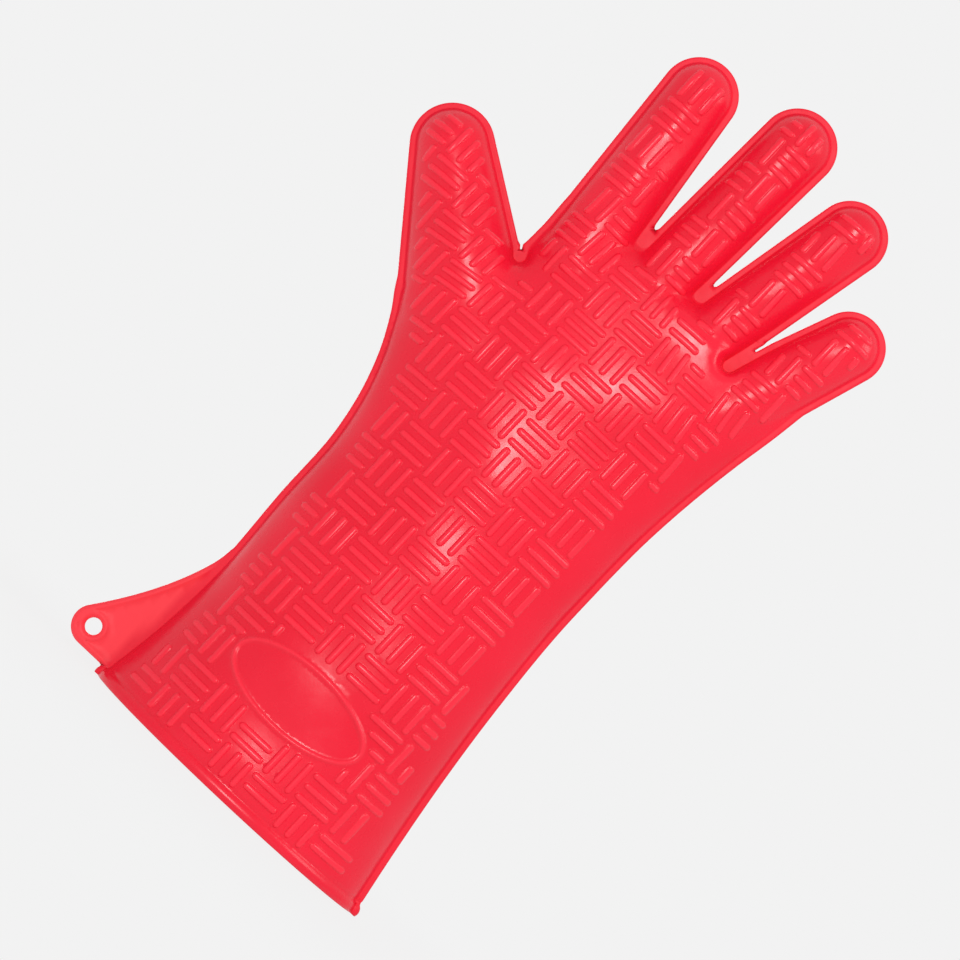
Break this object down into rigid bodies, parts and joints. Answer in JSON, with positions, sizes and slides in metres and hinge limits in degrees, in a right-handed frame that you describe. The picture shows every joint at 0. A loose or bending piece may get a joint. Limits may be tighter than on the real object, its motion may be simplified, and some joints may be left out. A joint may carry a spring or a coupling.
{
  "type": "heat resistant glove",
  "caption": "Long moulded silicone cooking glove with separate fingers and thumb, raised basketweave grip bars, flared cuff with a plain oval panel and a flat hanging tab.",
  "frame": {"origin": "centre of the overall box at the bottom of the cuff rim, which the glove stands on", "axes": "+Z from the cuff to the fingertips, -Y out of the grip side of the palm, -X towards the thumb"},
  "size_m": [0.1993, 0.0804, 0.3514],
  "materials": {
    "red_silicone": "satin moulded silicone, slightly translucent",
    "flex_silicone": "satin moulded silicone where the skin folds",
    "grip_badge": "satin moulded silicone, smooth raised line"
  },
  "bodies": {
    "cuff": {"cuff_rim": "red_silicone", "cuff_sleeve": "red_silicone", "hanging_tab": "red_silicone", "badge_ring": "grip_badge", "wrist_band": "flex_silicone"},
    "hand": {"palm_shell": "red_silicone", "index_base_crease": "flex_silicone", "middle_base_crease": "flex_silicone", "ring_base_crease": "flex_silicone", "little_base_crease": "flex_silicone", "thumb_base_crease": "flex_silicone"},
    "index_proximal": {"index_proximal": "red_silicone", "index_middle_crease": "flex_silicone"},
    "index_middle": {"index_middle": "red_silicone", "index_tip_crease": "flex_silicone"},
    "index_distal": {"index_distal": "red_silicone"},
    "middle_proximal": {"middle_proximal": "red_silicone", "middle_middle_crease": "flex_silicone"},
    "middle_middle": {"middle_middle": "red_silicone", "middle_tip_crease": "flex_silicone"},
    "middle_distal": {"middle_distal": "red_silicone"},
    "ring_proximal": {"ring_proximal": "red_silicone", "ring_middle_crease": "flex_silicone"},
    "ring_middle": {"ring_middle": "red_silicone", "ring_tip_crease": "flex_silicone"},
    "ring_distal": {"ring_distal": "red_silicone"},
    "little_proximal": {"little_proximal": "red_silicone", "little_middle_crease": "flex_silicone"},
    "little_middle": {"little_middle": "red_silicone", "little_tip_crease": "flex_silicone"},
    "little_distal": {"little_distal": "red_silicone"},
    "thumb_proximal": {"thumb_proximal": "red_silicone", "thumb_tip_crease": "flex_silicone"},
    "thumb_distal": {"thumb_distal": "red_silicone"}
  },
  "joints": [
    {"name": "wrist_bend", "type": "hinge", "parent": "cuff", "child": "hand", "pos_m": [0.0193, 0, 0.125], "axis": [1, 0, 0], "range_deg": [-30, 40], "stiffness_Nm_per_rad": 1, "deforming": ["wrist_band"]},
    {"name": "index_base_bend", "type": "hinge", "parent": "hand", "child": "index_proximal", "pos_m": [-0.02038, 0, 0.28265], "axis": [1, 0, 0], "range_deg": [0, 60], "stiffness_Nm_per_rad": 0.12, "deforming": ["index_base_crease"]},
    {"name": "index_middle_bend", "type": "hinge", "parent": "index_proximal", "child": "index_middle", "pos_m": [-0.02233, 0, 0.3013], "axis": [0.9946, 0, 0.104], "range_deg": [0, 65], "stiffness_Nm_per_rad": 0.1, "deforming": ["index_middle_crease"]},
    {"name": "index_tip_bend", "type": "hinge", "parent": "index_middle", "child": "index_distal", "pos_m": [-0.024, 0, 0.31722], "axis": [0.9946, 0, 0.104], "range_deg": [0, 40], "stiffness_Nm_per_rad": 0.06, "deforming": ["index_tip_crease"]},
    {"name": "middle_base_bend", "type": "hinge", "parent": "hand", "child": "middle_proximal", "pos_m": [0.0151, 0, 0.28519], "axis": [1, 0, 0], "range_deg": [0, 60], "stiffness_Nm_per_rad": 0.12, "deforming": ["middle_base_crease"]},
    {"name": "middle_middle_bend", "type": "hinge", "parent": "middle_proximal", "child": "middle_middle", "pos_m": [0.01603, 0, 0.30567], "axis": [0.999, 0, -0.0454], "range_deg": [0, 65], "stiffness_Nm_per_rad": 0.1, "deforming": ["middle_middle_crease"]},
    {"name": "middle_tip_bend", "type": "hinge", "parent": "middle_middle", "child": "middle_distal", "pos_m": [0.01687, 0, 0.32415], "axis": [0.999, 0, -0.0454], "range_deg": [0, 40], "stiffness_Nm_per_rad": 0.06, "deforming": ["middle_tip_crease"]},
    {"name": "ring_base_bend", "type": "hinge", "parent": "hand", "child": "ring_proximal", "pos_m": [0.04747, 0, 0.28002], "axis": [1, 0, 0], "range_deg": [0, 60], "stiffness_Nm_per_rad": 0.12, "deforming": ["ring_base_crease"]},
    {"name": "ring_middle_bend", "type": "hinge", "parent": "ring_proximal", "child": "ring_middle", "pos_m": [0.05138, 0, 0.29836], "axis": [0.978, 0, -0.2086], "range_deg": [0, 65], "stiffness_Nm_per_rad": 0.1, "deforming": ["ring_middle_crease"]},
    {"name": "ring_tip_bend", "type": "hinge", "parent": "ring_middle", "child": "ring_distal", "pos_m": [0.05477, 0, 0.31425], "axis": [0.978, 0, -0.2086], "range_deg": [0, 40], "stiffness_Nm_per_rad": 0.06, "deforming": ["ring_tip_crease"]},
    {"name": "little_base_bend", "type": "hinge", "parent": "hand", "child": "little_proximal", "pos_m": [0.07678, 0, 0.26752], "axis": [1, 0, 0], "range_deg": [0, 55], "stiffness_Nm_per_rad": 0.12, "deforming": ["little_base_crease"]},
    {"name": "little_middle_bend", "type": "hinge", "parent": "little_proximal", "child": "little_middle", "pos_m": [0.08192, 0, 0.28162], "axis": [0.9396, 0, -0.3423], "range_deg": [0, 60], "stiffness_Nm_per_rad": 0.1, "deforming": ["little_middle_crease"]},
    {"name": "little_tip_bend", "type": "hinge", "parent": "little_middle", "child": "little_distal", "pos_m": [0.08628, 0, 0.2936], "axis": [0.9396, 0, -0.3423], "range_deg": [0, 38], "stiffness_Nm_per_rad": 0.06, "deforming": ["little_tip_crease"]},
    {"name": "thumb_base_bend", "type": "hinge", "parent": "hand", "child": "thumb_proximal", "pos_m": [-0.05625, 0, 0.22029], "axis": [0.6844, 0, 0.7291], "range_deg": [0, 45], "stiffness_Nm_per_rad": 0.15, "deforming": ["thumb_base_crease"]},
    {"name": "thumb_tip_bend", "type": "hinge", "parent": "thumb_proximal", "child": "thumb_distal", "pos_m": [-0.06938, 0, 0.23261], "axis": [0.6844, 0, 0.7291], "range_deg": [0, 45], "stiffness_Nm_per_rad": 0.1, "deforming": ["thumb_tip_crease"]}
  ],
  "couplings": [
    {"joint": "index_tip_bend", "follows": "index_middle_bend", "ratio": 0.615},
    {"joint": "middle_tip_bend", "follows": "middle_middle_bend", "ratio": 0.615},
    {"joint": "ring_tip_bend", "follows": "ring_middle_bend", "ratio": 0.615},
    {"joint": "little_tip_bend", "follows": "little_middle_bend", "ratio": 0.633}
  ]
}
